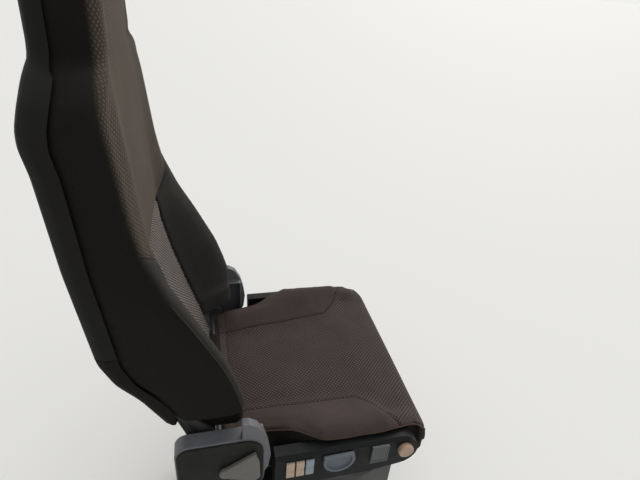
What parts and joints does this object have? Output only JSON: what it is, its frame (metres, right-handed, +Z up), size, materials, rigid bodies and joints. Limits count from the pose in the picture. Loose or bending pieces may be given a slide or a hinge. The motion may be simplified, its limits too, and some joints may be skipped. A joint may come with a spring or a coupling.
{
  "type": "bus driver's seat",
  "caption": "Air-suspended driver's seat of a bus with side controls, sliding cushion, reclining high back and integrated head restraint.",
  "frame": {"origin": "on the floor, in the middle of the four floor bolts", "axes": "+Z up, the seat faces -Y, the driver's right is -X"},
  "size_m": [0.556, 0.685, 1.375],
  "materials": {
    "painted_frame": "semi-gloss black powder coat on pressed steel",
    "zinc_steel": "zinc-plated drawn steel, light oil film",
    "gaiter_rubber": "matt black coated fabric, folded",
    "dark_plastic": "grained black moulded plastic",
    "key_plastic": "cream moulded plastic, satin, worn",
    "lever_plastic": "blue-grey moulded plastic",
    "flap_plastic": "grey moulded plastic",
    "knob_plastic": "cream moulded plastic, round turned edge",
    "cover_plastic": "mid grey textured moulded plastic",
    "disc_plastic": "black moulded plastic disc, fine grain",
    "recline_plastic": "warm grey moulded plastic",
    "patterned_fabric": "woven plush with small light dashes",
    "plain_fabric": "plain dark flat-woven fabric",
    "shell_plastic": "black moulded back shell, grained"
  },
  "bodies": {
    "base": {"base_frame": "painted_frame", "gaiter": "gaiter_rubber"},
    "arms_outer": {"arm_pair_outer": "zinc_steel"},
    "arms_inner": {"arm_pair_inner": "zinc_steel"},
    "carriage": {"upper_frame": "painted_frame", "slide_rails_lower": "zinc_steel"},
    "seat": {"slide_rails_upper": "zinc_steel", "seat_frame": "painted_frame", "slide_handle": "dark_plastic", "recliner_bracket_right": "painted_frame", "recliner_bracket_left": "painted_frame", "fairing_right": "dark_plastic", "fairing_left": "dark_plastic", "switch_keys": "key_plastic", "height_lever": "lever_plastic", "tilt_flap": "flap_plastic", "damper_knob": "knob_plastic", "recliner_cover_right": "cover_plastic", "recliner_cover_left": "cover_plastic", "recliner_disc_right": "disc_plastic", "recliner_disc_left": "disc_plastic", "recliner_lever": "recline_plastic"},
    "tilt_carrier": {"tilt_frame": "painted_frame"},
    "cushion": {"cushion_pan": "painted_frame", "cushion_insert": "patterned_fabric", "cushion_bolster_right": "plain_fabric", "cushion_bolster_left": "plain_fabric"},
    "backrest": {"back_frame": "painted_frame", "back_insert": "patterned_fabric", "back_bolster_right": "plain_fabric", "back_bolster_left": "plain_fabric", "back_upper": "patterned_fabric", "head_restraint": "patterned_fabric", "back_shell": "shell_plastic", "back_lower_panel": "plain_fabric"}
  },
  "joints": [
    {"name": "lift", "type": "slide", "parent": "base", "child": "carriage", "axis": [0, 0, 1], "range_m": [-0.05, 0.05], "deforming": ["gaiter"]},
    {"name": "arm_outer_swing", "type": "hinge", "parent": "base", "child": "arms_outer", "pos_m": [0, 0.16733, 0.022], "axis": [-1, 0, 0], "range_deg": [-9, 9]},
    {"name": "arm_inner_swing", "type": "hinge", "parent": "carriage", "child": "arms_inner", "pos_m": [0, 0.16733, 0.202], "axis": [1, 0, 0], "range_deg": [-9, 9]},
    {"name": "fore_aft", "type": "slide", "parent": "carriage", "child": "seat", "axis": [0, -1, 0], "range_m": [-0.09, 0.09]},
    {"name": "cushion_tilt", "type": "hinge", "parent": "seat", "child": "tilt_carrier", "pos_m": [0, 0.12, 0.326], "axis": [-1, 0, 0], "range_deg": [0, 6]},
    {"name": "cushion_depth", "type": "slide", "parent": "tilt_carrier", "child": "cushion", "axis": [0, -1, 0], "range_m": [0, 0.06]},
    {"name": "recline", "type": "hinge", "parent": "seat", "child": "backrest", "pos_m": [0, 0.166, 0.475], "axis": [-1, 0, 0], "range_deg": [-8, 26]}
  ],
  "couplings": [
    {"joint": "arm_outer_swing", "follows": "lift", "rad_per_m": 2.9881},
    {"joint": "arm_inner_swing", "follows": "lift", "rad_per_m": 2.9881}
  ]
}
